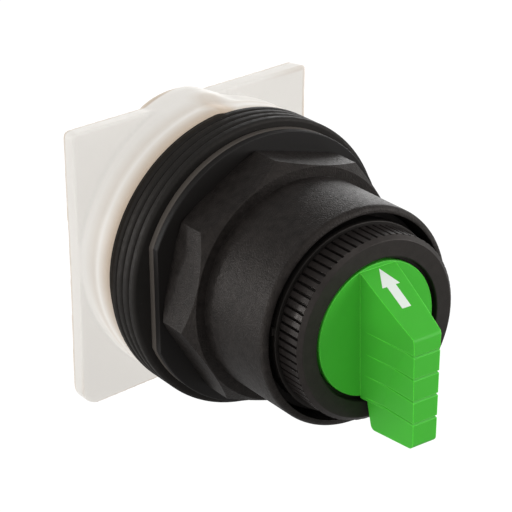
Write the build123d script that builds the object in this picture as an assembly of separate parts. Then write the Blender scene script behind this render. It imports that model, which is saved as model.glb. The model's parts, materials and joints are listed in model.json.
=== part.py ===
"""Rotary selector switch operator for a 30.5 mm panel hole, built from its separate pieces.

Frame: millimetres, +Z up. The switch axis is Y and the front of the switch faces -Y.
The origin is on the axis, in the plane of the front gasket's face, where a panel's back rests.
"""

import os
from math import atan2, cos, radians, sin

from build123d import *

# ---- driving dimensions ----

# fits between pieces
FIT = 0.03
RUNNING_FIT = 0.08

# thread and panel hole
THREAD_R = 14.9
KEY_WIDTH = 4.6
KEY_TOP = 16.8
KEY_FRONT = -2.0
NOTCH_WIDTH = 5.0
NOTCH_TOP = 17.2

# knob
DISC_FACE = -26.7
DISC_R = 9.9
DISC_EDGE = 0.12
SHOULDER_R = 11.6
SHOULDER_FRONT = -25.0
SHOULDER_REAR = -23.6
SLEEVE_REAR = -13.0
LEVER_REACH = 10.5
LEVER_TOP = 9.25
APEX_HEIGHT = 3.1
LEVER_FOOT = -13.4
LEVER_HEEL = -14.2
LEVER_CORNER_RADII = (0, 0.8, 0.9, 0.8, 0, 0)
BEZEL_CLEARANCE = 0.7
BLADE_HALF = 2.26
BLADE_TAPER = 0.017
FLARE_ROOT = (2.89, 0.019)
FLARE_TIP = (2.10, 0.093)
GROOVE_HEIGHTS = (0.78, -2.6, -5.95, -9.35)
GROOVE_WIDTH = 0.42
GROOVE_DEPTH = 0.3
GROOVE_FADE = 0.55
SOCKET_DEPTH = 7.0

# pointer arrow, measured along the lever's slope from its top
ARROW_START = 0.3
ARROW_LENGTH = 6.8
ARROW_HEAD = 3.0
ARROW_HEAD_HALF = 1.5
ARROW_SHAFT_HALF = 0.75
ARROW_DEPTH = 0.25
ARROW_PROUD = 0.02

# bezel ring and index ring
BEZEL_FACE = -27.05
BEZEL_BORE_R = 10.5
BEZEL_LIP_R = 10.0
BEZEL_LIP_FRONT = -25.9
BEZEL_RIDGE_R = 12.95
KNURL_FRONT = -26.45
KNURL_REAR = -22.5
KNURL_RUN_IN = (0.1, 0.7)
KNURL_CREST_R = 13.6
KNURL_ROOT_R = 13.1
KNURL_TEETH = 72
ROOT_SHARE = 0.18
FLANK_SHARE = 0.08
CREST_SHARE = 0.66
SKIRT_R = 12.9
SKIRT_BORE_R = 11.9
SKIRT_REAR = -19.5
INDEX_R = 14.1
INDEX_EDGE = 0.15
INDEX_REAR = -21.75
NIB_ANGLE = 172.0
NIB_HALF_SPAN = 2.2
NIB_HEIGHT = 0.45

# ring nut
NUT_SIDES = 8
NUT_CORNER_R = 19.3
NUT_PHASE = 188.3
NUT_FRONT = -9.1
NUT_REAR = -2.2
NUT_CHAMFER_R = 17.75
NUT_CHAMFER = 1.75
NUT_REAR_CHAMFER = (0.9, 0.5)
COLLAR_R = 16.25
COLLAR_BORE_R = 15.2
COLLAR_FRONT = -22.6
COLLAR_RIM_RADII = (0.1, 0.8)
COLLAR_THREAD_FRONT = -19.0

# trim washers and gaskets
WASHER_R = 20.9
WASHER_FLAT = 19.3
WASHER_THICKNESS = 1.1
GASKET_R = 22.15
GASKET_THICKNESS = 1.6
GASKET_COUNT = 4
GASKET_EDGE = 0.55
SEAT_BORE_R = 15.3

# operator body
NECK_R = 13.9
NECK_FRONT = -21.7
SHOULDER_FACE = -19.5
BEARING_R = 9.96
BULKHEAD_FRONT = -11.8
BULKHEAD_REAR = -10.0
BULKHEAD_BORE_R = 4.6
CHAMBER_R = 12.4
FLANGE_R = 21.2
FLANGE_THICKNESS = 2.8
BODY_REAR = 17.0

# rear cup
CUP_FRONT = 5.2
CUP_BORE_R = 22.4
CUP_BEAD_R = 24.1
CUP_WALL = 1.5
PLATE_SIDE = 44.3
PLATE_FRONT = 14.4
PLATE_THICKNESS = 2.6
PLATE_CORNER_R = 2.0
CUP_NOTCH_WIDTH = 8.0
CUP_NOTCH_REAR = 9.0

# drive train
SHAFT_SIDE = 6.0
SHAFT_FIT = 0.05
SHAFT_CORNER = 0.4
SHAFT_REAR = 6.4
SHAFT_COLLAR_R = 5.4
CLIP_GROOVE_R = 2.6
CLIP_R = 5.2
CLIP_MOUTH = 4.4
WHEEL_FRONT = -9.7
WHEEL_REAR = -6.1
WHEEL_R = 9.0
DETENT_STEP = 45.0
DETENT_R = 1.3
DETENT_INSET = 0.9
LEAF_CENTRE_LINE = ((-9.3, -8.35), (-3.6, -10.9), (0, -8.75), (3.6, -10.9), (9.3, -8.35))
LEAF_THICKNESS = 0.4
LEAF_TOP_RADII = (0, 1.0, 0.9, 1.0, 0)
LEAF_UNDER_RADII = (0, 1.4, 0.5, 1.4, 0)
LEAF_POCKET = (1.6, -9.2, -7.7)
CAM_FRONT = -6.0
CAM_PLATE_REAR = -3.6
CAM_R = 10.2
RAMP_INNER_R = 5.8
RAMP_RISE_PER_RADIAN = 2.0 / radians(45.0)
RAMP_HALF_SPAN = 60
RAMP_STEP = 10
HUB_R = 5.0
HUB_REAR = 4.5
CLIP_FRONT = 4.7
CLIP_REAR = 5.4
CLIP_HOLE_R = 0.9
CLIP_HOLE_X = 3.3
CLIP_HOLE_Z = 1.6
STOP_LUG_R = 11.6
STOP_LUG_HALF = 8.0
STOP_RIB_R = 10.8
STOP_RIB_SPAN = 9.0
STOP_PLAY = 0.7

# plungers and their springs
PLUNGER_X = 8.0
PLUNGER_R = 1.5
PLUNGER_GAP = 0.05
PLUNGER_COLLAR_R = 2.7
PLUNGER_COLLAR = (4.6, 5.8)
PLUNGER_REAR = 22.6
SPRING_WIRE_R = 0.25
SPRING_R = 2.2
SPRING_TURNS = 6

# rear cover and fasteners
COVER_R = 14.9
COVER_REAR = 20.0
SPIGOT_R = 12.3
SPIGOT_FRONT = 15.5
INSERT_Z = 10.0
INSERT_R = 2.6
INSERT_BORE_R = 1.65
INSERT_FRONT = 10.5
POST_R = 3.4
POST_FRONT = 9.4
POST_REAR = 15.4
SCREW_RADIUS = 11.4
SCREW_ANGLES = (45.0, 225.0)
SCREW_R = 1.2
SCREW_HEAD_R = 2.2
SCREW_HEAD = 1.3
SCREW_HEAD_FRONT = 18.5
SCREW_FRONT = 11.0
SCREW_POST_R = 2.2
SCREW_SLOT = 0.6


# ---- helpers ----


def at_angle(radius, angle, y=0.0):
    """A point at a radius and an angle about the axis; 0 degrees is +X and 90 is +Z."""
    return (radius * cos(radians(angle)), y, radius * sin(radians(angle)))


def turned(*corners, radii=0):
    """A solid of revolution about the switch axis from (radius, y) corners, rounded by radii."""
    outline = FilletPolyline(*corners, radius=radii, close=True)
    return revolve(make_face(outline), Axis.Y)


def ring(inner, outer, front, rear):
    """A plain ring or, with no inner radius, a disc."""
    return turned((inner, front), (outer, front), (outer, rear), (inner, rear))


def rod(radius, front, rear, x=0.0, z=0.0):
    """A cylinder along Y."""
    middle = (front + rear) / 2
    return Pos(x, middle, z) * Rot(90, 0, 0) * Cylinder(radius, rear - front)


def block(width, front, rear, low, high, x=0.0):
    """A box of a width in X, from front to rear in Y and from low to high in Z."""
    centre = Pos(x, (front + rear) / 2, (low + high) / 2)
    return centre * Box(width, rear - front, high - low)


def prism(points, front, rear):
    """A prism along Y from (x, z) corners."""
    outline = Polyline(*[(x, front, z) for x, z in points], close=True)
    return extrude(make_face(outline), amount=rear - front, dir=(0, 1, 0))


def sector(inner, outer, front, rear, angle, half_span):
    """A ring sector centred on an angle."""
    reach = 2 * outer
    wedge = prism(
        [
            (0, 0),
            (reach * cos(radians(angle - half_span)), reach * sin(radians(angle - half_span))),
            (reach * cos(radians(angle + half_span)), reach * sin(radians(angle + half_span))),
        ],
        front,
        rear,
    )
    return ring(inner, outer, front, rear) & wedge


def square_bar(side, front, rear):
    """A square bar along Y with chamfered corners."""
    half = side / 2
    cut = half - SHAFT_CORNER
    points = [(cut, half), (-cut, half), (-half, cut), (-half, -cut)]
    points += [(-x, -z) for x, z in points]
    return prism(points, front, rear)


# ---- knob ----


def lever_width(y_share, z):
    """Half-width of the lever's flared root at a share of its reach and a height."""
    root = FLARE_ROOT[0] + FLARE_ROOT[1] * z
    tip = FLARE_TIP[0] + FLARE_TIP[1] * z
    return root + (tip - root) * y_share


def lever_profile():
    """Side view of the lever as a face in the plane X = 0."""
    front = DISC_FACE - LEVER_REACH
    step = DISC_FACE - BEZEL_CLEARANCE
    corners = [
        (0, DISC_FACE, LEVER_TOP),
        (0, front, APEX_HEIGHT),
        (0, front, LEVER_FOOT),
        (0, step - 1.0, LEVER_HEEL),
        (0, step, -DISC_R + 0.1),
        (0, DISC_FACE, -DISC_R + 0.1),
    ]
    return make_face(FilletPolyline(*corners, radius=list(LEVER_CORNER_RADII), close=True))


def blade_section():
    """The finger blade's cross-section: narrower towards the foot."""
    low, high = LEVER_HEEL - 1, LEVER_TOP + 1
    wide, narrow = (BLADE_HALF + BLADE_TAPER * z for z in (high, low))
    return [(-wide, high), (wide, high), (narrow, low), (-narrow, low)]


def flare():
    """The wide root between the disc and the blade, as a loft of two trapezoids."""
    low, high = -DISC_R + 0.1, LEVER_TOP + 1
    faces = []
    for share in (0.0, 1.0):
        y = DISC_FACE - LEVER_REACH * share
        top, foot = lever_width(share, high), lever_width(share, low)
        corners = [(-top, y, high), (top, y, high), (foot, y, low), (-foot, y, low)]
        faces.append(make_face(Polyline(*corners, close=True)))
    return loft(faces, ruled=True)


def groove_notch(floor, y, height, side):
    """Section of a flank groove: a level roof and a floor that slopes out and down."""
    reach = 3.0
    fall = reach * GROOVE_WIDTH / GROOVE_DEPTH
    corners = [(floor, height), (floor + reach, height), (floor + reach, height - fall)]
    return make_face(Polyline(*[(side * x, y, z) for x, z in corners], close=True))


def grip_groove(height):
    """One groove: a notch across the front face that runs out along both flanks."""
    front = DISC_FACE - LEVER_REACH
    blade = BLADE_HALF + BLADE_TAPER * height
    root, tip = lever_width(0.0, height), lever_width(1.0, height)
    kink = DISC_FACE - LEVER_REACH * (root - blade) / (root - tip)
    outline = Polyline(
        (0, front + GROOVE_DEPTH, height),
        (0, front - GROOVE_DEPTH, height),
        (0, front - GROOVE_DEPTH, height - 2 * GROOVE_WIDTH),
        close=True,
    )
    cut = extrude(make_face(outline), amount=4.0, both=True)
    floors = (
        (front - 0.5, blade - GROOVE_DEPTH),
        (kink, blade - GROOVE_FADE * GROOVE_DEPTH),
        (DISC_FACE - 0.2, root),
    )
    for side in (-1, 1):
        sections = [groove_notch(floor, y, height, side) for y, floor in floors]
        cut += loft(sections, ruled=True)
    return cut


def slope_plane():
    """Plane on the lever's slope: local X is across, local Y runs down the slope."""
    run = Vector(0, -LEVER_REACH, APEX_HEIGHT - LEVER_TOP)
    normal = Vector(1, 0, 0).cross(run)
    if normal.Z < 0:
        normal = -normal
    return Plane(origin=(0, DISC_FACE, LEVER_TOP), x_dir=(1, 0, 0), z_dir=normal)


def arrow_solid(top):
    """The arrow from its floor to a height above the slope."""
    plane = slope_plane()
    down = 1 if plane.y_dir.Z < 0 else -1
    head, tail = ARROW_START + ARROW_HEAD, ARROW_START + ARROW_LENGTH
    half = [
        (0, ARROW_START),
        (ARROW_HEAD_HALF, head),
        (ARROW_SHAFT_HALF, head),
        (ARROW_SHAFT_HALF, tail),
    ]
    corners = half + [(-x, s) for x, s in reversed(half[1:])]
    outline = Polyline(*[(x, down * s) for x, s in corners], close=True)
    face = plane * Pos(0, 0, -ARROW_DEPTH) * make_face(outline)
    return extrude(face, amount=ARROW_DEPTH + top, dir=plane.z_dir)


def make_knob():
    side_view = lever_profile()
    thick = extrude(side_view, amount=5.0, both=True)
    blade = thick & prism(blade_section(), DISC_FACE - LEVER_REACH - 1, DISC_FACE)
    lever = blade + (thick & flare())
    for height in GROOVE_HEIGHTS:
        lever -= grip_groove(height)
    body = turned(
        (0, DISC_FACE),
        (DISC_R, DISC_FACE),
        (DISC_R, SHOULDER_FRONT),
        (SHOULDER_R, SHOULDER_FRONT),
        (SHOULDER_R, SHOULDER_REAR),
        (DISC_R, SHOULDER_REAR),
        (DISC_R, SLEEVE_REAR),
        (0, SLEEVE_REAR),
        radii=[0, DISC_EDGE, 0, 0, 0, 0, 0.4, 0],
    )
    socket = square_bar(SHAFT_SIDE + 2 * SHAFT_FIT, SLEEVE_REAR - SOCKET_DEPTH, SLEEVE_REAR)
    return body + lever - socket - arrow_solid(1.0)


def make_pointer_arrow():
    return arrow_solid(ARROW_PROUD)


# ---- front rings ----


def knurl_outline():
    """Corners of the knurl's cross-section: equal teeth with sloping flanks."""
    pitch = 360 / KNURL_TEETH
    crest_start = ROOT_SHARE + FLANK_SHARE
    tooth_profile = (
        (0.0, KNURL_ROOT_R),
        (ROOT_SHARE, KNURL_ROOT_R),
        (crest_start, KNURL_CREST_R),
        (crest_start + CREST_SHARE, KNURL_CREST_R),
    )
    corners = []
    for tooth in range(KNURL_TEETH):
        for share, radius in tooth_profile:
            x, _, z = at_angle(radius, pitch * (tooth + share))
            corners.append((x, z))
    return corners


def make_bezel_ring():
    run_in_start, run_in_end = KNURL_RUN_IN
    crest = turned(
        (BEZEL_BORE_R, BEZEL_FACE),
        (BEZEL_RIDGE_R, BEZEL_FACE),
        (KNURL_CREST_R, KNURL_FRONT),
        (KNURL_CREST_R, KNURL_REAR),
        (BEZEL_BORE_R, KNURL_REAR),
        radii=[0.15, 0.08, 0, 0.2, 0],
    )
    plain = turned(
        (0, BEZEL_FACE - 1),
        (KNURL_CREST_R + 1, BEZEL_FACE - 1),
        (KNURL_CREST_R + 1, BEZEL_FACE + run_in_start),
        (KNURL_ROOT_R, BEZEL_FACE + run_in_end),
        (0, BEZEL_FACE + run_in_end),
    )
    teeth = prism(knurl_outline(), BEZEL_FACE - 2, KNURL_REAR)
    lip = ring(BEZEL_LIP_R, BEZEL_BORE_R + 1, BEZEL_LIP_FRONT, SHOULDER_FRONT - 0.2)
    skirt = ring(SKIRT_BORE_R, SKIRT_R, KNURL_REAR - 1, SKIRT_REAR)
    undercut = rod(SKIRT_BORE_R, SHOULDER_FRONT - 0.2, KNURL_REAR)
    return (crest & (teeth + plain)) + lip - undercut + skirt


def make_index_ring():
    washer = turned(
        (SKIRT_R + FIT, KNURL_REAR + FIT),
        (INDEX_R, KNURL_REAR + FIT),
        (INDEX_R, INDEX_REAR),
        (SKIRT_R + FIT, INDEX_REAR),
        radii=[0, INDEX_EDGE, INDEX_EDGE, 0],
    )
    nib_front, nib_rear = KNURL_REAR + 0.2, INDEX_REAR - 0.1
    nib = sector(INDEX_R - 0.3, INDEX_R + NIB_HEIGHT, nib_front, nib_rear, NIB_ANGLE, NIB_HALF_SPAN)
    return washer + nib


def make_thrust_ring():
    return ring(DISC_R + 0.1, SKIRT_BORE_R - 0.1, SHOULDER_REAR + 0.05, SHOULDER_REAR + 1.95)


def make_knob_seal():
    section_r = (SKIRT_BORE_R - DISC_R) / 2 - 0.1
    centre_r = (SKIRT_BORE_R + DISC_R) / 2
    centre = Pos(0, SHOULDER_FACE - section_r - 0.1, 0)
    return centre * Rot(90, 0, 0) * Torus(centre_r, section_r)


def make_ring_nut():
    corners = [at_angle(NUT_CORNER_R, NUT_PHASE + 360 * i / NUT_SIDES) for i in range(NUT_SIDES)]
    octagon = prism([(x, z) for x, _, z in corners], NUT_FRONT, NUT_REAR)
    rear_step, rear_depth = NUT_REAR_CHAMFER
    outer = turned(
        (0, NUT_FRONT),
        (NUT_CHAMFER_R, NUT_FRONT),
        (NUT_CORNER_R, NUT_FRONT + NUT_CHAMFER),
        (NUT_CORNER_R, NUT_REAR - rear_depth),
        (NUT_CORNER_R - rear_step, NUT_REAR),
        (0, NUT_REAR),
    )
    collar = turned(
        (COLLAR_BORE_R, COLLAR_FRONT),
        (COLLAR_R, COLLAR_FRONT),
        (COLLAR_R, NUT_FRONT + 1),
        (COLLAR_BORE_R, NUT_FRONT + 1),
        radii=[*COLLAR_RIM_RADII, 0, 0],
    )
    bore = rod(THREAD_R + FIT, COLLAR_THREAD_FRONT, NUT_REAR + 1)
    counterbore = rod(COLLAR_BORE_R, COLLAR_FRONT - 1, COLLAR_THREAD_FRONT)
    return (octagon & outer) + collar - bore - counterbore


# ---- panel seat ----


def key_notch(front, rear):
    """The notch that passes over the body's key."""
    return block(NOTCH_WIDTH, front - 1, rear + 1, 0, NOTCH_TOP)


def make_trim_washer(front):
    rear = front + WASHER_THICKNESS
    washer = turned(
        (SEAT_BORE_R, front),
        (WASHER_R, front),
        (WASHER_R, rear),
        (SEAT_BORE_R, rear),
        radii=[0, 0.2, 0.2, 0],
    )
    flats = block(2 * WASHER_FLAT, front - 1, rear + 1, -WASHER_R - 1, WASHER_R + 1)
    return washer & flats - key_notch(front, rear)


def make_gasket(index):
    front = index * GASKET_THICKNESS
    rear = front + GASKET_THICKNESS
    gasket = turned(
        (SEAT_BORE_R, front),
        (GASKET_R, front),
        (GASKET_R, rear),
        (SEAT_BORE_R, rear),
        radii=[0, GASKET_EDGE, GASKET_EDGE, 0],
    )
    return gasket - key_notch(front, rear)


def cup_hub():
    """The stepped round hub: a wall with a rolled rim, a groove and a wide bead."""
    wall_rear = PLATE_FRONT - CUP_WALL
    foot_r = CUP_BORE_R + 0.5
    rim_in = (CUP_BORE_R, CUP_FRONT + 0.6)
    rim_top = (CUP_BORE_R + 0.55, CUP_FRONT)
    rim_out = (CUP_BORE_R + 1.1, CUP_FRONT + 0.6)
    roll = (CUP_BORE_R + 1.5, CUP_FRONT + 2.0)
    waist = (CUP_BORE_R + 0.95, CUP_FRONT + 4.0)
    bead = (CUP_BEAD_R, PLATE_FRONT - 2.5)
    outline = [
        Line((CUP_BORE_R, wall_rear), rim_in),
        ThreePointArc(rim_in, rim_top, rim_out),
        ThreePointArc(rim_out, roll, waist),
        ThreePointArc(waist, bead, (foot_r, PLATE_FRONT)),
        Line((foot_r, PLATE_FRONT), (THREAD_R + FIT, PLATE_FRONT)),
        Line((THREAD_R + FIT, PLATE_FRONT), (THREAD_R + FIT, wall_rear)),
        Line((THREAD_R + FIT, wall_rear), (CUP_BORE_R, wall_rear)),
    ]
    return revolve(make_face(Wire(outline)), Axis.Y)


def make_rear_cup():
    plate_rear = PLATE_FRONT + PLATE_THICKNESS
    square = Plane.XZ.offset(-PLATE_FRONT) * RectangleRounded(PLATE_SIDE, PLATE_SIDE, PLATE_CORNER_R)
    plate = extrude(square, amount=PLATE_THICKNESS, dir=(0, 1, 0))
    plate -= rod(THREAD_R + FIT, PLATE_FRONT - 1, plate_rear + 1)
    notch = block(CUP_NOTCH_WIDTH, CUP_FRONT - 1, CUP_NOTCH_REAR, CUP_BORE_R - 1, CUP_BEAD_R + 1)
    return cup_hub() + plate - notch


# ---- operator body ----


def stop_rib(side):
    """The rib that the cam's lug meets at one end of the travel."""
    half_span = STOP_RIB_SPAN / 2
    angle = 90 + side * (DETENT_STEP + STOP_LUG_HALF + STOP_PLAY + half_span)
    return sector(STOP_RIB_R, CHAMBER_R + 0.2, BULKHEAD_REAR - 0.1, CAM_PLATE_REAR, angle, half_span)


def make_operator_body():
    flange_front = GASKET_COUNT * GASKET_THICKNESS
    flange_rear = flange_front + FLANGE_THICKNESS
    body = turned(
        (SKIRT_R + FIT, NECK_FRONT),
        (NECK_R, NECK_FRONT),
        (NECK_R, SHOULDER_FACE),
        (THREAD_R, SHOULDER_FACE),
        (THREAD_R, flange_front),
        (FLANGE_R, flange_front),
        (FLANGE_R, flange_rear),
        (THREAD_R, flange_rear),
        (THREAD_R, BODY_REAR),
        (CHAMBER_R, BODY_REAR),
        (CHAMBER_R, BULKHEAD_REAR),
        (BULKHEAD_BORE_R, BULKHEAD_REAR),
        (BULKHEAD_BORE_R, BULKHEAD_FRONT),
        (BEARING_R, BULKHEAD_FRONT),
        (BEARING_R, SHOULDER_FACE + 0.2),
        (SKIRT_R + FIT, SHOULDER_FACE + 0.2),
    )
    body += block(KEY_WIDTH, KEY_FRONT, flange_front, THREAD_R - 1, KEY_TOP)
    for side in (-1, 1):
        body += stop_rib(side)
        post = rod(POST_R, POST_FRONT, POST_REAR, z=side * INSERT_Z)
        body += post & rod(CHAMBER_R + 0.3, POST_FRONT, BODY_REAR)
        body -= rod(INSERT_R + FIT, POST_FRONT - 1, BODY_REAR + 1, z=side * INSERT_Z)
    for angle in SCREW_ANGLES:
        x, _, z = at_angle(SCREW_RADIUS, angle)
        body += rod(SCREW_POST_R, POST_FRONT, POST_REAR, x=x, z=z)
        body -= rod(SCREW_R + FIT, SCREW_FRONT - 0.5, BODY_REAR + 1, x=x, z=z)
    return body - spring_pockets()


# ---- drive train ----


def make_drive_shaft():
    bar = square_bar(SHAFT_SIDE, SLEEVE_REAR - SOCKET_DEPTH + 0.2, SHAFT_REAR)
    collar = rod(SHAFT_COLLAR_R, SLEEVE_REAR + SHAFT_FIT, BULKHEAD_FRONT - SHAFT_FIT)
    groove = ring(CLIP_GROOVE_R, SHAFT_SIDE, CLIP_FRONT - SHAFT_FIT, CLIP_REAR + SHAFT_FIT)
    return bar + collar - groove


def shaft_socket(front, rear):
    return square_bar(SHAFT_SIDE + 2 * SHAFT_FIT, front - 1, rear + 1)


def make_detent_wheel():
    wheel = rod(WHEEL_R, WHEEL_FRONT, WHEEL_REAR) - shaft_socket(WHEEL_FRONT, WHEEL_REAR)
    for turn in (-1, 0, 1):
        x, _, z = at_angle(WHEEL_R + DETENT_R - DETENT_INSET, 270 + turn * DETENT_STEP)
        wheel -= rod(DETENT_R, WHEEL_FRONT - 1, WHEEL_REAR + 1, x=x, z=z)
    return wheel


def make_detent_spring():
    """A bent leaf: its ends sit in the chamber wall and its nose rests in the middle detent."""
    front, rear = WHEEL_FRONT + 0.2, WHEEL_REAR - 0.2
    half = LEAF_THICKNESS / 2
    upper = [(x, z + half) for x, z in LEAF_CENTRE_LINE]
    lower = [(x, z - half) for x, z in reversed(LEAF_CENTRE_LINE)]
    corners = [(x, front, z) for x, z in upper + lower]
    outline = FilletPolyline(*corners, radius=[*LEAF_TOP_RADII, *LEAF_UNDER_RADII], close=True)
    return extrude(make_face(outline), amount=rear - front, dir=(0, 1, 0))


def spring_pockets():
    """Two shallow pockets in the chamber wall that hold the leaf's ends."""
    width, low, high = LEAF_POCKET
    end_x, _ = LEAF_CENTRE_LINE[-1]
    pocket = block(width, WHEEL_FRONT, WHEEL_REAR, low, high, x=end_x)
    return pocket + mirror(pocket, about=Plane.YZ)


def helical_ramp(centre_angle, direction):
    """A ramp whose rear face rises steadily with the angle, as a ruled loft of radial sections."""
    sections = []
    for offset in range(-RAMP_HALF_SPAN, RAMP_HALF_SPAN + 1, RAMP_STEP):
        height = direction * radians(offset) * RAMP_RISE_PER_RADIAN
        angle = centre_angle + offset
        corners = [
            at_angle(RAMP_INNER_R, angle, CAM_PLATE_REAR - 0.2),
            at_angle(CAM_R - 0.1, angle, CAM_PLATE_REAR - 0.2),
            at_angle(CAM_R - 0.1, angle, height),
            at_angle(RAMP_INNER_R, angle, height),
        ]
        sections.append(make_face(Polyline(*corners, close=True)))
    return loft(sections, ruled=True)


def make_cam_rotor():
    rotor = rod(CAM_R, CAM_FRONT, CAM_PLATE_REAR) + rod(HUB_R, CAM_FRONT, HUB_REAR)
    rotor += sector(CAM_R - 1, STOP_LUG_R, CAM_FRONT, CAM_PLATE_REAR, 90, STOP_LUG_HALF)
    rotor += helical_ramp(0, 1)
    rotor += helical_ramp(180, -1)
    return rotor - shaft_socket(CAM_FRONT, HUB_REAR)


def make_shaft_clip():
    """A flat retaining ring with an open mouth and two holes for pliers."""
    clip = ring(CLIP_GROOVE_R + SHAFT_FIT, CLIP_R, CLIP_FRONT, CLIP_REAR)
    clip -= block(CLIP_MOUTH, CLIP_FRONT - 1, CLIP_REAR + 1, -CLIP_R - 1, 0)
    for side in (-1, 1):
        clip -= rod(CLIP_HOLE_R, CLIP_FRONT - 1, CLIP_REAR + 1, x=side * CLIP_HOLE_X, z=CLIP_HOLE_Z)
    return clip


# ---- plungers ----


def make_plunger(side):
    """A push rod whose round tip rests on its ramp."""
    slope = atan2(RAMP_RISE_PER_RADIAN, PLUNGER_X)
    tip_centre = (PLUNGER_R + PLUNGER_GAP) / cos(slope)
    x = side * PLUNGER_X
    tip = Pos(x, tip_centre, 0) * Sphere(PLUNGER_R)
    stem = rod(PLUNGER_R, tip_centre, PLUNGER_REAR, x=x)
    collar = rod(PLUNGER_COLLAR_R, *PLUNGER_COLLAR, x=x)
    return tip + stem + collar


def make_plunger_spring(side):
    front, rear = PLUNGER_COLLAR[1] + 0.05, SPIGOT_FRONT - 0.05
    height = rear - front - 2 * SPRING_WIRE_R
    start = (side * PLUNGER_X, front + SPRING_WIRE_R, 0)
    coil = Helix(height / SPRING_TURNS, height, SPRING_R, center=start, direction=(0, 1, 0))
    section = Plane(origin=coil @ 0, z_dir=coil % 0) * Circle(SPRING_WIRE_R)
    return sweep(section, path=coil, is_frenet=True)


# ---- rear cover and fasteners ----


def make_rear_cover():
    cover = rod(COVER_R, BODY_REAR, COVER_REAR) + rod(SPIGOT_R, SPIGOT_FRONT, BODY_REAR + 1)
    for side in (-1, 1):
        cover -= rod(PLUNGER_R + RUNNING_FIT, SPIGOT_FRONT - 1, COVER_REAR + 1, x=side * PLUNGER_X)
        cover -= rod(INSERT_R + FIT, SPIGOT_FRONT - 1, COVER_REAR + 1, z=side * INSERT_Z)
    for angle in SCREW_ANGLES:
        x, _, z = at_angle(SCREW_RADIUS, angle)
        cover -= rod(SCREW_R + 0.1, SPIGOT_FRONT - 1, COVER_REAR + 1, x=x, z=z)
        cover -= rod(SCREW_HEAD_R + 0.1, SCREW_HEAD_FRONT, COVER_REAR + 1, x=x, z=z)
    return cover


def make_cover_screws():
    screws = []
    for angle in SCREW_ANGLES:
        x, _, z = at_angle(SCREW_RADIUS, angle)
        head = rod(SCREW_HEAD_R, SCREW_HEAD_FRONT, SCREW_HEAD_FRONT + SCREW_HEAD, x=x, z=z)
        shank = rod(SCREW_R, SCREW_FRONT, SCREW_HEAD_FRONT + 0.1, x=x, z=z)
        slot_front = SCREW_HEAD_FRONT + SCREW_HEAD / 2
        slot = block(SCREW_SLOT, slot_front, COVER_REAR, z - SCREW_HEAD_R, z + SCREW_HEAD_R, x=x)
        screws.append(head + shank - slot)
    return Compound(children=[s.solid() for s in screws])


def make_contact_inserts():
    inserts = []
    for side in (-1, 1):
        z = side * INSERT_Z
        sleeve = rod(INSERT_R, INSERT_FRONT, COVER_REAR, z=z)
        inserts.append(sleeve - rod(INSERT_BORE_R, INSERT_FRONT - 1, COVER_REAR + 1, z=z))
    return Compound(children=[s.solid() for s in inserts])


# ---- the assembly ----


def assembly():
    """Every piece by its name."""
    pieces = {
        "knob": make_knob(),
        "pointer_arrow": make_pointer_arrow(),
        "bezel_ring": make_bezel_ring(),
        "index_ring": make_index_ring(),
        "thrust_ring": make_thrust_ring(),
        "knob_seal": make_knob_seal(),
        "ring_nut": make_ring_nut(),
        "trim_washer_front": make_trim_washer(-2 * WASHER_THICKNESS),
        "trim_washer_rear": make_trim_washer(-WASHER_THICKNESS),
        "rear_cup": make_rear_cup(),
        "operator_body": make_operator_body(),
        "drive_shaft": make_drive_shaft(),
        "detent_wheel": make_detent_wheel(),
        "detent_spring": make_detent_spring(),
        "cam_rotor": make_cam_rotor(),
        "shaft_clip": make_shaft_clip(),
        "rear_cover": make_rear_cover(),
        "cover_screws": make_cover_screws(),
        "contact_inserts": make_contact_inserts(),
    }
    for index in range(GASKET_COUNT):
        pieces[f"gasket_{index + 1}"] = make_gasket(index)
    for name, side in (("left", -1), ("right", 1)):
        pieces[f"plunger_{name}"] = make_plunger(side)
        pieces[f"plunger_spring_{name}"] = make_plunger_spring(side)
    return pieces


def main():
    os.makedirs("parts", exist_ok=True)
    for name, piece in assembly().items():
        export_step(piece, f"parts/{name}.step")
        print(name, round(piece.volume, 2))


main()
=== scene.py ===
"""Looks of the rotary selector switch operator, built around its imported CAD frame."""

import json
import math

import bmesh
import bpy
from mathutils import Matrix, Vector


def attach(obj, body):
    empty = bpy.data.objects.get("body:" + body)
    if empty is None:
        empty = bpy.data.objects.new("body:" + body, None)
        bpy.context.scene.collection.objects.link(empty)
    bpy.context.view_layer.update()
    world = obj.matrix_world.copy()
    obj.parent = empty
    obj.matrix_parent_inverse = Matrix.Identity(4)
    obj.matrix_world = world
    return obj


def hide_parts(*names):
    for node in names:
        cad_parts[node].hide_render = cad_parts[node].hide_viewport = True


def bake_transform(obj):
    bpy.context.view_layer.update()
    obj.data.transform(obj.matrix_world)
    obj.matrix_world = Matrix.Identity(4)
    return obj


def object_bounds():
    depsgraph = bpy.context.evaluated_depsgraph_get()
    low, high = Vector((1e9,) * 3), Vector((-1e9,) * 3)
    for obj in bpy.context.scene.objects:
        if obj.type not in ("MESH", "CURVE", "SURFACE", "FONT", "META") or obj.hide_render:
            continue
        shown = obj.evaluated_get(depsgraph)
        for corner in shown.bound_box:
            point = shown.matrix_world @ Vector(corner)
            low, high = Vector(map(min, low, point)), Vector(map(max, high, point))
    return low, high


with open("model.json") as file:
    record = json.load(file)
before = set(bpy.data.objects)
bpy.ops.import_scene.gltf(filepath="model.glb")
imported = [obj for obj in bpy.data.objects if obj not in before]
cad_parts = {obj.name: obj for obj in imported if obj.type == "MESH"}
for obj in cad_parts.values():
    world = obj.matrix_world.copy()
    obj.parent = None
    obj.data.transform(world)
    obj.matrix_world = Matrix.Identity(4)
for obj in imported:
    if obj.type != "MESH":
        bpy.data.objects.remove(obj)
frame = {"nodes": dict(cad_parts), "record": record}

CAD_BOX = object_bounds()
NODES = frame["nodes"]
SCENE = bpy.context.scene
MM = 0.001

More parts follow.
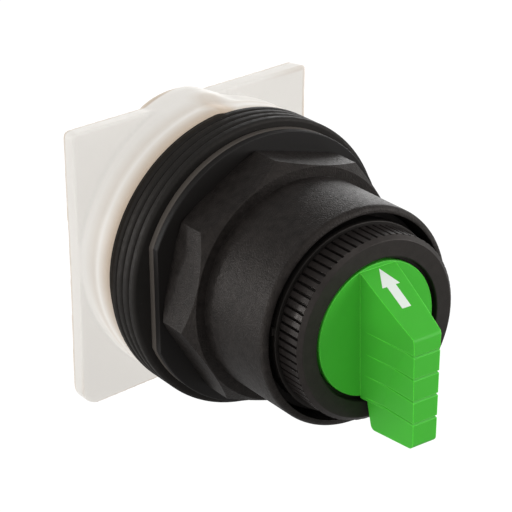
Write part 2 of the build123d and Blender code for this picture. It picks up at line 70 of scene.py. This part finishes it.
# camera: where it aims from the middle of the CAD box, and from where it looks
AIM_OFFSET = Vector((-3.75, 3.35, 3.67)) * MM
AZIMUTH = -35.73
ELEVATION = 24.35
ROLL = -0.52
DISTANCE = 271.8 * MM
LENS = 133.6

# the soft rear cup's square plate, in millimetres and degrees
CUP_SIDE = 43.7
CUP_CORNERS = {"left top": 0.8, "right top": 0.4, "left bottom": 3.0, "right bottom": 2.0}
CUP_THICKNESS = 2.8
CUP_SHIFT = (-1.75, -0.2)
CUP_TILT = 6.2
CUP_PITCH = -2.0
CUP_BORE_R = 15.2
PLATE_FRONT = 14.7

# how the plate is out of true: its top, its sides and the rear edge of its top corners
LIFT_TOP = 0.45
LEAN_LEFT = 0.4
GROW_RIGHT = 0.4
REAR_TAPER = 1.15
WARP_RIGHT = 0.05
WARP_LEFT = 0.3

# from where to where, outward from the middle of the plate, each of these sets in
TOP_BAND = (12, 21)
SIDE_BAND = (12, 20)
LEAN_BAND = (-5, 21)
WARP_BAND_RIGHT = (-8, 3)
WARP_BAND_LEFT = (-3, 8)

# the cup's hub: radii and depths, then the angles between which its rim and bead stand proud
HUB_HIDDEN_R = 21.95
HUB_WALL = 0.75
HUB_INNER_RISE = 1.3
HUB_FRONT = 6.6
HUB_REACH = 1.1
HUB_OVERLAP = 1.0
RIM_HEIGHT = 1.35
BEAD_HEIGHT = 2.0
HUB_BULGE = 2.4
HUB_BULGE_AT = (106, 30)
RIM_RISE = (88, 100)
BEAD_RISE = (80, 97)
HUB_FALL = (162, 216)

# how the cup's mesh is merged and smoothed
CUP_VOXEL = 0.2
CUP_SMOOTHING = 8

# where the cup gets brown painted shade, in millimetres and degrees, and how much
RIM_FRONT = 6.3
GROOVE_DEPTH = 9.4
GROOVE_HALF_WIDTH = 1.4
GROOVE_SHADE = 0.3
NOTCH_ANGLE = 94
NOTCH_HALF_SPAN = (3, 9)
NOTCH_DEPTH = (7.5, 12.5)
OUTLINE_SHADE = 0.85
BLEND_REACH = 10

# ---- camera ----


def look_matrix(forward, roll):
    """Rotation that looks along a direction with +Z up, rolled about the line of sight."""
    level = forward.to_track_quat("-Z", "Y").to_matrix()
    return level @ Matrix.Rotation(math.radians(roll), 3, "Z")


def add_camera():
    azimuth, elevation = math.radians(AZIMUTH), math.radians(ELEVATION)
    forward = Vector(
        (
            -math.sin(azimuth) * math.cos(elevation),
            math.cos(azimuth) * math.cos(elevation),
            -math.sin(elevation),
        )
    )
    centre = (Vector(CAD_BOX[0]) + Vector(CAD_BOX[1])) / 2
    data = bpy.data.cameras.new("camera")
    data.lens = LENS
    data.clip_start = 0.01
    camera = bpy.data.objects.new("camera", data)
    SCENE.collection.objects.link(camera)
    place = centre + AIM_OFFSET - forward * DISTANCE
    camera.matrix_world = Matrix.Translation(place) @ look_matrix(forward, ROLL).to_4x4()
    SCENE.camera = camera


# ---- materials ----


class Shader:
    """A material whose nodes are made in short calls, with a Principled shader at its end."""

    def __init__(self, name, colour, roughness, **values):
        self.material = bpy.data.materials.new(name)
        self.material.use_nodes = True
        self.tree = self.material.node_tree
        self.surface = self.tree.nodes["Principled BSDF"]
        self.set("Base Color", (*colour, 1))
        self.set("Roughness", roughness)
        for socket, value in values.items():
            self.set(socket.replace("_", " "), value)
        self.place = self.node("ShaderNodeTexCoord").outputs["Object"]
        self.height = None

    def set(self, socket, value):
        self.surface.inputs[socket].default_value = value

    def node(self, kind, **settings):
        made = self.tree.nodes.new(kind)
        for key, value in settings.items():
            setattr(made, key, value)
        return made

    def link(self, source, target):
        self.tree.links.new(source, target)

    def noise(self, size_mm, detail=2.0, roughness=0.5, stretch=(1, 1, 1)):
        """Noise with features of a size in millimetres, from 0 to 1."""
        mapping = self.node("ShaderNodeMapping")
        mapping.inputs["Scale"].default_value = stretch
        self.link(self.place, mapping.inputs["Vector"])
        noise = self.node("ShaderNodeTexNoise")
        noise.inputs["Scale"].default_value = 1 / (size_mm * MM)
        noise.inputs["Detail"].default_value = detail
        noise.inputs["Roughness"].default_value = roughness
        self.link(mapping.outputs["Vector"], noise.inputs["Vector"])
        return noise.outputs["Fac"]

    def specks(self, spacing_mm, radius):
        """Sparse round specks: 1 inside a speck and 0 outside it."""
        cells = self.node("ShaderNodeTexVoronoi")
        cells.inputs["Scale"].default_value = 1 / (spacing_mm * MM)
        self.link(self.place, cells.inputs["Vector"])
        return self.span(cells.outputs["Distance"], radius, radius * 0.5)

    def span(self, value, low, high, out_low=0.0, out_high=1.0):
        """The value mapped from one range to another, clamped."""
        mapped = self.node("ShaderNodeMapRange")
        mapped.inputs["From Min"].default_value = low
        mapped.inputs["From Max"].default_value = high
        mapped.inputs["To Min"].default_value = out_low
        mapped.inputs["To Max"].default_value = out_high
        self.link(value, mapped.inputs["Value"])
        return mapped.outputs["Result"]

    def math(self, operation, first, second):
        made = self.node("ShaderNodeMath", operation=operation)
        for socket, value in zip(made.inputs, (first, second)):
            if isinstance(value, (int, float)):
                socket.default_value = value
            else:
                self.link(value, socket)
        return made.outputs["Value"]

    def blend_colour(self, factor, first, second):
        """A colour between two, each a colour or a socket."""
        mix = self.node("ShaderNodeMix", data_type="RGBA")
        self.link(factor, mix.inputs["Factor"])
        for index, value in ((6, first), (7, second)):
            if isinstance(value, tuple):
                mix.inputs[index].default_value = (*value, 1)
            else:
                self.link(value, mix.inputs[index])
        return mix.outputs[2]

    def scale_colour(self, colour, factor):
        """A colour socket made darker or lighter."""
        scaled = self.node("ShaderNodeVectorMath", operation="SCALE")
        scaled.inputs["Scale"].default_value = factor
        self.link(colour, scaled.inputs["Vector"])
        return scaled.outputs["Vector"]

    def near_edges(self, radius_mm):
        """1 on sharp edges and 0 a radius away from them.

        There the rounded normal turns away from the flat one, so their dot product drops below 1.
        """
        bevel = self.node("ShaderNodeBevel", samples=8)
        bevel.inputs["Radius"].default_value = radius_mm * MM
        flat = self.node("ShaderNodeNewGeometry")
        product = self.node("ShaderNodeVectorMath", operation="DOT_PRODUCT")
        self.link(bevel.outputs["Normal"], product.inputs[0])
        self.link(flat.outputs["Normal"], product.inputs[1])
        return self.span(product.outputs["Value"], 0.995, 0.95)

    def colour(self, source):
        self.link(source, self.surface.inputs["Base Color"])

    def rough(self, source):
        self.link(source, self.surface.inputs["Roughness"])

    def bump(self, height, depth_mm):
        """Adds relief on top of what is already there."""
        bump = self.node("ShaderNodeBump")
        bump.inputs["Distance"].default_value = depth_mm * MM
        self.link(height, bump.inputs["Height"])
        if self.height is not None:
            self.link(self.height, bump.inputs["Normal"])
        self.height = bump.outputs["Normal"]
        self.link(self.height, self.surface.inputs["Normal"])

    def soft_edges(self, radius_mm):
        """Rounds the shading of sharp edges, as a moulding's small radii do."""
        bevel = self.node("ShaderNodeBevel", samples=6)
        bevel.inputs["Radius"].default_value = radius_mm * MM
        self.height = bevel.outputs["Normal"]
        self.link(self.height, self.surface.inputs["Normal"])


GREEN = (0.054, 0.412, 0.032)
# the knob's painted edge highlight: its brighter green and how far from the edge it reaches, in
# millimetres
GREEN_EDGE_HIGHLIGHT = (0.12, 0.78, 0.06)
EDGE_HIGHLIGHT_REACH = 0.12
RUBBER = (0.0075, 0.007, 0.0065)
DUST = (0.06, 0.057, 0.055)
WARM_GLOSS = (1.0, 0.91, 0.85, 1.0)

# the milky plastic: its colours, its brown painted shade, the strength of its painted glow that stands
# in for light shining through it, and how much light it scatters itself
MILK = (0.385, 0.372, 0.352)
SHADE_BROWN = (0.27, 0.22, 0.172)
PAINTED_GLOW = 1.52
MILK_SHADED = 0.4


def green_plastic():
    shade = Shader("green_plastic", GREEN, 0.36, Specular_IOR_Level=0.17)
    shade.set("Subsurface Weight", 0.25)
    shade.set("Subsurface Scale", 1.0 * MM)
    shade.set("Subsurface Radius", (0.3, 1.0, 0.2))
    shade.soft_edges(0.15)
    paler = tuple(1.08 * channel for channel in GREEN)
    body = shade.blend_colour(shade.noise(2.4, 3), GREEN, paler)
    # painted highlight: the knob's sharp edges are coloured a brighter green, as if their rounding
    # caught the light
    shade.colour(shade.blend_colour(shade.near_edges(EDGE_HIGHLIGHT_REACH), body, GREEN_EDGE_HIGHLIGHT))
    shade.rough(shade.span(shade.noise(0.6, 4), 0.3, 0.7, 0.32, 0.42))
    shade.bump(shade.noise(0.12, 2), 0.004)
    return shade.material


def white_paint():
    shade = Shader("white_paint", (0.73, 0.79, 0.73), 0.5)
    shade.bump(shade.noise(0.1, 2), 0.004)
    return shade.material


def moulded_black(name, tone, roughness, grain_mm, grain_depth, gloss=0.17, mottle=1.5):
    """Black plastic with a fine moulded grain, faint mottling and a few pale specks of dust."""
    shade = Shader(name, tone, roughness, Specular_IOR_Level=gloss)
    shade.set("Specular Tint", WARM_GLOSS)
    shade.soft_edges(0.1)
    lighter = tuple(mottle * channel for channel in tone)
    patches = shade.span(shade.noise(1.3, 6, 0.6), 0.35, 0.65)
    body = shade.blend_colour(patches, tone, lighter)
    dust = shade.specks(1.7, 0.035)
    shade.colour(shade.blend_colour(dust, body, DUST))
    shade.rough(shade.span(shade.noise(0.5, 3), 0.3, 0.7, roughness - 0.06, roughness + 0.06))
    shade.bump(shade.noise(grain_mm, 3), grain_depth)
    return shade.material


def rubber():
    shade = Shader("gasket_rubber", RUBBER, 0.6, Specular_IOR_Level=0.17)
    shade.set("Specular Tint", WARM_GLOSS)
    shade.soft_edges(0.12)
    paler = tuple(1.7 * channel for channel in RUBBER)
    body = shade.blend_colour(shade.noise(1.6, 3), RUBBER, paler)
    dust = shade.specks(1.3, 0.05)
    shade.colour(shade.blend_colour(dust, body, DUST))
    shade.rough(shade.span(shade.noise(0.8, 3), 0.3, 0.7, 0.5, 0.68))
    shade.bump(shade.noise(0.25, 3), 0.01)
    return shade.material


def fibre(name, tone, gloss=0.3):
    shade = Shader(name, tone, 0.55, Specular_IOR_Level=gloss)
    shade.soft_edges(0.08)
    fleck = shade.noise(0.35, 4, 0.6)
    paler = tuple(1.45 * channel for channel in tone)
    shade.colour(shade.blend_colour(fleck, tone, paler))
    shade.bump(shade.noise(0.12, 3), 0.008)
    return shade.material


def cup_outline_shade(shade, x, y, z):
    """A thin line of painted shade along the plate's silhouette, where its edge looks darker.

    It runs along the rear edge all round, and along the front edge below and on the right.
    """
    across = shade.math("ABSOLUTE", shade.math("SUBTRACT", x, CUP_SHIFT[0]), 0)
    upward = shade.math("ABSOLUTE", shade.math("SUBTRACT", z, CUP_SHIFT[1]), 0)
    outline = shade.math("MAXIMUM", across, upward)
    at_outline = shade.span(outline, CUP_SIDE / 2 - 0.4, CUP_SIDE / 2 - 0.1)
    leaning_x = shade.math("MULTIPLY", x, math.tan(math.radians(CUP_TILT)))
    leaning_z = shade.math("MULTIPLY", z, math.tan(math.radians(CUP_PITCH)))
    depth = shade.math("SUBTRACT", shade.math("SUBTRACT", y, leaning_x), leaning_z)
    rear = PLATE_FRONT + CUP_THICKNESS
    rear_line = shade.span(depth, rear - 0.7, rear - 0.2, 0.0, OUTLINE_SHADE)
    front_line = shade.span(depth, PLATE_FRONT + 0.2, PLATE_FRONT + 0.6, OUTLINE_SHADE, 0.0)
    low_right = shade.span(shade.math("SUBTRACT", x, z), -BLEND_REACH, BLEND_REACH)
    front_line = shade.math("MULTIPLY", front_line, low_right)
    return shade.math("MULTIPLY", shade.math("MAXIMUM", rear_line, front_line), at_outline)


def hub_painted_shade(shade, x, y, z):
    """Painted shade on the hub: brown at its front rim by the gaskets, along its groove and in the
    notch at its top.
    """
    rim = shade.span(y, RIM_FRONT - 0.8, RIM_FRONT + 1.8, 1.0, 0.0)
    from_groove = shade.math("ABSOLUTE", shade.math("SUBTRACT", y, GROOVE_DEPTH), 0)
    groove = shade.span(from_groove, 0.0, GROOVE_HALF_WIDTH, GROOVE_SHADE, 0.0)
    angle = shade.math("ARCTAN2", z, x)
    from_notch = shade.math("ABSOLUTE", shade.math("SUBTRACT", angle, math.radians(NOTCH_ANGLE)), 0)
    inner, outer = (math.radians(edge) for edge in NOTCH_HALF_SPAN)
    notch_width = shade.span(from_notch, inner, outer, 1.0, 0.0)
    notch = shade.math("MULTIPLY", notch_width, shade.span(y, *NOTCH_DEPTH, 1.0, 0.0))
    return shade.math("MAXIMUM", shade.math("MAXIMUM", rim, groove), notch)


def cup_painted_shade(shade):
    """How much brown painted shade the cup has at each place, from 0 to 1."""
    parts = shade.node("ShaderNodeSeparateXYZ")
    shade.link(shade.place, parts.inputs["Vector"])
    x, y, z = (shade.math("MULTIPLY", parts.outputs[axis], 1 / MM) for axis in "XYZ")
    return shade.math("MAXIMUM", cup_outline_shade(shade, x, y, z), hub_painted_shade(shade, x, y, z))


def milky():
    """Translucent moulding with a painted glow: an even glow of its own colour stands in for a pale
    studio shining through it.
    """
    shade = Shader("milky_plastic", MILK, 0.5, Subsurface_Weight=0.9, Specular_IOR_Level=0.15)
    shade.set("Subsurface Scale", 2.5 * MM)
    shade.set("Subsurface Radius", (1.0, 1.0, 1.0))
    shade.soft_edges(0.35)
    clear = tuple(1.06 * channel for channel in MILK)
    body = shade.blend_colour(shade.noise(9, 3), MILK, clear)
    # painted shade: brown where shade falls on the hub by the gaskets, in its groove and notch, and
    # along the plate's outline
    body = shade.blend_colour(cup_painted_shade(shade), body, SHADE_BROWN)
    shade.colour(shade.scale_colour(body, MILK_SHADED))
    # painted glow: the colour, painted shade included, is also emitted, standing in for light that
    # shines through the plastic
    shade.link(body, shade.surface.inputs["Emission Color"])
    shade.set("Emission Strength", PAINTED_GLOW)
    shade.rough(shade.span(shade.noise(3, 3), 0.3, 0.7, 0.44, 0.56))
    shade.bump(shade.noise(4, 2), 0.05)
    return shade.material


def metal(name, tone, roughness):
    shade = Shader(name, tone, roughness, Metallic=1.0)
    shade.rough(shade.span(shade.noise(0.5, 3), 0.3, 0.7, roughness - 0.08, roughness + 0.1))
    shade.bump(shade.noise(0.3, 3, stretch=(1, 6, 1)), 0.006)
    return shade.material


def acetal():
    shade = Shader("acetal", (0.8, 0.79, 0.74), 0.38, Subsurface_Weight=0.2, Subsurface_Scale=0.001)
    shade.soft_edges(0.08)
    shade.colour(shade.blend_colour(shade.noise(2, 3), (0.76, 0.75, 0.69), (0.84, 0.83, 0.79)))
    shade.bump(shade.noise(0.2, 2), 0.004)
    return shade.material


def finish_table():
    """The material of each of the record's slots."""
    return {
        "knob_green": green_plastic(),
        "arrow_white": white_paint(),
        "black_plastic": moulded_black("black_plastic", (0.0072, 0.0067, 0.0063), 0.5, 0.3, 0.02),
        "black_satin": moulded_black("black_satin", (0.0090, 0.0080, 0.0073), 0.44, 0.2, 0.01),
        "gasket_rubber": rubber(),
        "washer_fibre": fibre("washer_fibre", (0.056, 0.048, 0.041)),
        "milky_plastic": milky(),
        "seal_rubber": moulded_black("seal_rubber", (0.010, 0.010, 0.010), 0.6, 0.2, 0.004),
        "steel": metal("zinc_steel", (0.6, 0.6, 0.58), 0.35),
        "spring_steel": metal("spring_steel", (0.5, 0.5, 0.5), 0.28),
        "acetal": acetal(),
        "brass": metal("brass", (0.72, 0.53, 0.22), 0.32),
    }


def own_finishes():
    """Pieces whose surface differs from the rest of their slot."""
    cast = moulded_black("cast_black", (0.0085, 0.0072, 0.0066), 0.46, 0.26, 0.1, mottle=2.0)
    bezel = moulded_black("bezel_black", (0.0105, 0.0088, 0.0082), 0.42, 0.25, 0.012, gloss=0.27)
    # painted shade: the front washer is a near-black copy of the fibre, standing in for the shadow the
    # nut throws on it
    fibre_painted_shade = fibre("fibre_painted_shade", (0.0065, 0.0055, 0.005), 0.2)
    return {"ring_nut": cast, "bezel_ring": bezel, "trim_washer_front": fibre_painted_shade}


def dress_nodes(finishes, own):
    """Gives every CAD node its own material or that of its slot."""
    for part in frame["record"]["subparts"]:
        node = NODES[part["node"]]
        node.data.materials.clear()
        node.data.materials.append(own.get(part["node"], finishes[part["material_slot"]]))


# ---- the soft rear cup ----


def mesh_object(name, form):
    mesh = bpy.data.meshes.new(name)
    form.normal_update()
    form.to_mesh(mesh)
    form.free()
    made = bpy.data.objects.new(name, mesh)
    SCENE.collection.objects.link(made)
    return made


def lathe(name, profile, steps=192):
    """A closed solid of revolution about Y; profile(angle) gives its (radius, y) points in mm."""
    form = bmesh.new()
    rings = []
    for step in range(steps):
        angle = 2 * math.pi * step / steps
        points = profile(angle)
        turn = (math.cos(angle), math.sin(angle))
        rings.append([form.verts.new((r * turn[0] * MM, y * MM, r * turn[1] * MM)) for r, y in points])
    count = len(rings[0])
    for step, ring in enumerate(rings):
        following = rings[(step + 1) % steps]
        for i in range(count):
            j = (i + 1) % count
            form.faces.new((ring[i], following[i], following[j], ring[j]))
    bmesh.ops.recalc_face_normals(form, faces=form.faces)
    return mesh_object(name, form)


def near_angle(angle, centre, width):
    """A smooth hump: 1 at an angle in degrees, falling to 0 a width away."""
    away = abs((math.degrees(angle) - centre + 180) % 360 - 180)
    return 0.5 + 0.5 * math.cos(math.pi * min(away / width, 1))


def ease(value, low, high):
    """A smooth step from 0 at low to 1 at high."""
    share = min(max((value - low) / (high - low), 0), 1)
    return share * share * (3 - 2 * share)


def lean(x, z):
    """How far back the tilted plate lies at a place, in millimetres."""
    return x * math.tan(math.radians(CUP_TILT)) + z * math.tan(math.radians(CUP_PITCH))


def hub_profile(angle):
    """The cup's hub: a rolled rim, a shallow groove and a wide bead.

    The cup sits askew, so the hub stands proud of the gaskets from the top to the lower left only.
    """
    degrees = math.degrees(angle) % 360
    fall = 1 - ease(degrees, *HUB_FALL)
    proud = ease(degrees, *RIM_RISE) * fall
    rear = HUB_BULGE * near_angle(angle, *HUB_BULGE_AT)
    base = HUB_HIDDEN_R
    rim = base + RIM_HEIGHT * proud
    bead = base + BEAD_HEIGHT * ease(degrees, *BEAD_RISE) * fall
    front = HUB_FRONT - HUB_REACH * proud
    inner = base - HUB_WALL + HUB_INNER_RISE * proud
    back = PLATE_FRONT + HUB_OVERLAP + lean(base * math.cos(angle), base * math.sin(angle))
    return [
        (inner, 13.0),
        (inner, front + 0.4),
        (inner + 0.12, front + 0.1),
        (rim - 0.45, front),
        (rim - 0.15, front + 0.2),
        (rim, front + 0.9),
        (rim, front + 2.0),
        (rim - 0.25 * proud, 9.0),
        (rim + 0.05 * proud, 9.9),
        (bead - 0.2, 10.9),
        (bead, 12.2 + rear),
        (bead - 0.15, 13.6 + rear),
        (bead - 0.7, 15.0 + rear),
        (inner - 2.0, back),
        (CUP_BORE_R, back),
        (CUP_BORE_R, 13.0),
    ]


def square_edge(angle):
    """The plate's outline at an angle: a square whose four corners have their own radii."""
    half = CUP_SIDE / 2
    side_x, side_z = math.cos(angle), math.sin(angle)
    reach = half / max(abs(side_x), abs(side_z))
    edge_x, edge_z = side_x * reach, side_z * reach
    corner = ("right" if side_x > 0 else "left") + (" top" if side_z > 0 else " bottom")
    radius = CUP_CORNERS[corner]
    inset = half - radius
    over = (max(abs(edge_x) - inset, 0), max(abs(edge_z) - inset, 0))
    if over[0] > 0 and over[1] > 0:
        scale = radius / math.hypot(*over)
        edge_x = math.copysign(inset + over[0] * scale, edge_x)
        edge_z = math.copysign(inset + over[1] * scale, edge_z)
    return edge_x + CUP_SHIFT[0], edge_z + CUP_SHIFT[1]


def plate_point(share, angle, depth):
    """A point of the tilted plate: from its bore at share 0 to its edge at share 1."""
    edge_x, edge_z = square_edge(angle)
    x = CUP_BORE_R * math.cos(angle) * (1 - share) + edge_x * share
    z = CUP_BORE_R * math.sin(angle) * (1 - share) + edge_z * share
    y = PLATE_FRONT + lean(x, z) + depth
    at_top = share * ease(z, *TOP_BAND)
    x -= share * ease(-x, *SIDE_BAND) * ease(z, *LEAN_BAND) * LEAN_LEFT
    x += share * ease(x, *SIDE_BAND) * GROW_RIGHT
    z += at_top * LIFT_TOP
    if depth > 0:
        z += at_top * (ease(x, *WARP_BAND_RIGHT) * WARP_RIGHT - ease(-x, *WARP_BAND_LEFT) * WARP_LEFT)
        x -= share * ease(x, *SIDE_BAND) * REAR_TAPER
    return (math.hypot(x, z), y, math.atan2(z, x))


def make_plate():
    """The square plate as a closed slab with a round bore."""
    form = bmesh.new()
    steps, shares = 512, (0.0, 0.25, 0.5, 0.75, 1.0)
    walk = [(share, 0.0) for share in shares] + [(share, CUP_THICKNESS) for share in reversed(shares)]
    rings = []
    for step in range(steps):
        angle = 2 * math.pi * (step + 0.5) / steps
        ring = []
        for share, depth in walk:
            radius, y, turned = plate_point(share, angle, depth)
            place = (radius * math.cos(turned) * MM, y * MM, radius * math.sin(turned) * MM)
            ring.append(form.verts.new(place))
        rings.append(ring)
    for step, ring in enumerate(rings):
        following = rings[(step + 1) % steps]
        for i in range(len(ring)):
            j = (i + 1) % len(ring)
            form.faces.new((ring[i], following[i], following[j], ring[j]))
    bmesh.ops.recalc_face_normals(form, faces=form.faces)
    return mesh_object("cup_plate", form)


def settle(made):
    """Replaces an object's mesh by its modifiers' result."""
    bpy.context.view_layer.update()
    graph = bpy.context.evaluated_depsgraph_get()
    mesh = bpy.data.meshes.new_from_object(made.evaluated_get(graph))
    made.modifiers.clear()
    made.data = mesh
    return made


def join(first, second):
    form = bmesh.new()
    form.from_mesh(first.data)
    form.from_mesh(second.data)
    form.to_mesh(first.data)
    form.free()
    bpy.data.objects.remove(second)


def add_cup(finish):
    """One soft moulding: the hub and the plate are merged, then smoothed together."""
    cup = lathe("soft_rear_cup", hub_profile)
    join(cup, make_plate())
    remesh = cup.modifiers.new("merge", "REMESH")
    remesh.mode = "VOXEL"
    remesh.voxel_size = CUP_VOXEL * MM
    smooth = cup.modifiers.new("soften", "SMOOTH")
    smooth.factor = 0.5
    smooth.iterations = CUP_SMOOTHING
    settle(cup)
    for face in cup.data.polygons:
        face.use_smooth = True
    cup.data.materials.clear()
    cup.data.materials.append(finish)
    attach(cup, "housing")
    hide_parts("rear_cup")


# ---- the return springs ----


def add_return_coil(side):
    """A copy of a return spring's mesh, baked in place and shown instead of the CAD spring."""
    node = NODES[f"plunger_spring_{side}"]
    coil = bpy.data.objects.new(f"return_coil_{side}", node.data.copy())
    SCENE.collection.objects.link(coil)
    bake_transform(coil)
    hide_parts(f"plunger_spring_{side}")


# ---- floor and light ----

FLOOR_DROP = 40 * MM
FLOOR_SIZE = 6.0

# the studio's walls: how much they light the object, and how bright they look
WORLD_LIGHT = 0.5
WORLD_SEEN = 1.0

# sizes and distance in metres; each light is an azimuth, an elevation and a power in watts
SOFTBOX_SIZE = 0.4
SOFTBOX_DISTANCE = 0.7
SOFTBOXES = {
    "front_right": (50, 10, 3.0),
    "front_high": (0, 60, 1.1),
    "front_left": (-40, 8, 0.6),
    "left": (-95, 4, 1.9),
    "right": (95, 20, 0.5),
    "rear_left": (-138, 4, 1.15),
    "rear_right": (138, 6, 1.3),
    "low_left": (-80, -30, 1.2),
}

# a small light behind the left that throws sharper shadows than the softboxes
SPOT = (-135, 5, 0.6)
SPOT_SIZE = 0.06


def add_floor():
    mesh = bpy.data.meshes.new("floor")
    form = bmesh.new()
    bmesh.ops.create_grid(form, x_segments=1, y_segments=1, size=FLOOR_SIZE / 2)
    form.to_mesh(mesh)
    form.free()
    floor = bpy.data.objects.new("floor", mesh)
    SCENE.collection.objects.link(floor)
    floor.location.z = CAD_BOX[0][2] - FLOOR_DROP
    shade = Shader("floor", (0.05, 0.05, 0.05), 0.9, Specular_IOR_Level=0.0)
    shade.set("Emission Color", (1, 1, 1, 1))
    shade.set("Emission Strength", 1.0)
    mesh.materials.append(shade.material)
    floor.visible_glossy = False
    floor.visible_diffuse = False


def toward(azimuth, elevation):
    """Unit direction from the object; azimuth 0 is in front of it and 90 is on its right."""
    azimuth, elevation = math.radians(azimuth), math.radians(elevation)
    level = math.cos(elevation)
    return Vector((math.sin(azimuth) * level, -math.cos(azimuth) * level, math.sin(elevation)))


def add_softbox(name, azimuth, elevation, power, size=SOFTBOX_SIZE):
    """A square softbox turned to the object."""
    data = bpy.data.lights.new(name, "AREA")
    data.size = size
    data.energy = power
    light = bpy.data.objects.new(name, data)
    SCENE.collection.objects.link(light)
    light.location = toward(azimuth, elevation) * SOFTBOX_DISTANCE
    light.rotation_euler = (-light.location).to_track_quat("-Z", "Y").to_euler()


def add_world():
    world = bpy.data.worlds.new("studio")
    world.use_nodes = True
    background = world.node_tree.nodes["Background"]
    background.inputs["Color"].default_value = (1, 1, 1, 1)
    path = world.node_tree.nodes.new("ShaderNodeLightPath")
    strength = world.node_tree.nodes.new("ShaderNodeMapRange")
    strength.inputs["To Min"].default_value = WORLD_LIGHT
    strength.inputs["To Max"].default_value = WORLD_SEEN
    world.node_tree.links.new(path.outputs["Is Camera Ray"], strength.inputs["Value"])
    world.node_tree.links.new(strength.outputs["Result"], background.inputs["Strength"])
    SCENE.world = world


def add_light():
    add_world()
    for name, (azimuth, elevation, power) in SOFTBOXES.items():
        add_softbox(name, azimuth, elevation, power)
    add_softbox("spot", *SPOT, size=SPOT_SIZE)
    SCENE.view_settings.view_transform = "Standard"


# ---- the scene ----


add_camera()
FINISHES = finish_table()
dress_nodes(FINISHES, own_finishes())
add_cup(FINISHES["milky_plastic"])
for plunger_side in ("left", "right"):
    add_return_coil(plunger_side)
add_floor()
add_light()
